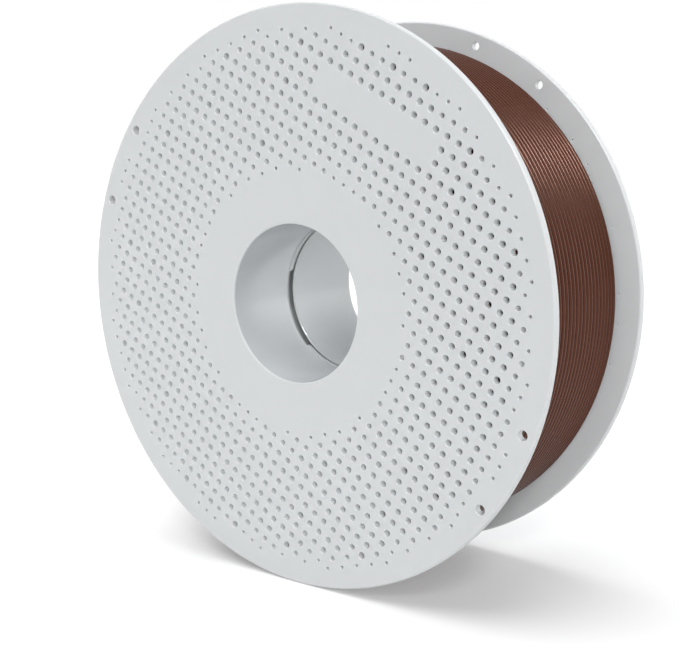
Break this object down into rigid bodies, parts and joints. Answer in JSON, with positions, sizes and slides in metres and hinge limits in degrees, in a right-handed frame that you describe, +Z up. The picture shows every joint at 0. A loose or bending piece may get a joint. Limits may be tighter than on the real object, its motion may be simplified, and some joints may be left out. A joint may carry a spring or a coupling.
{
  "type": "filament spool",
  "caption": "Two-part refillable spool with finely perforated flanges, a through bore and a twist lock, wound with 3D printing filament.",
  "frame": {"origin": "on the spool's axis, midway between the two flanges", "axes": "+Y along the spool's axis from the front flange to the rear one, +Z up as the spool stands on its rims, +X to the right seen from the front"},
  "size_m": [0.2, 0.067, 0.2],
  "materials": {
    "front_moulding": "injection moulded light grey plastic with a fine satin texture",
    "rear_moulding": "injection moulded light grey plastic with a fine satin texture",
    "core_tube": "plain extruded tube",
    "filament": "matte dark brown extruded filament"
  },
  "bodies": {
    "front": {"front_half": "front_moulding"},
    "refill": {"refill_core": "core_tube", "filament_pack": "filament", "filament_outer_layer": "filament"},
    "rear": {"rear_half": "rear_moulding"}
  },
  "joints": [
    {"name": "refill_slide", "type": "slide", "parent": "front", "child": "refill", "axis": [0, 1, 0], "range_m": [0, 0.07]},
    {"name": "rear_twist", "type": "hinge", "parent": "refill", "child": "rear", "pos_m": [0, 0, 0], "axis": [0, 1, 0], "range_deg": [0, 60]}
  ]
}
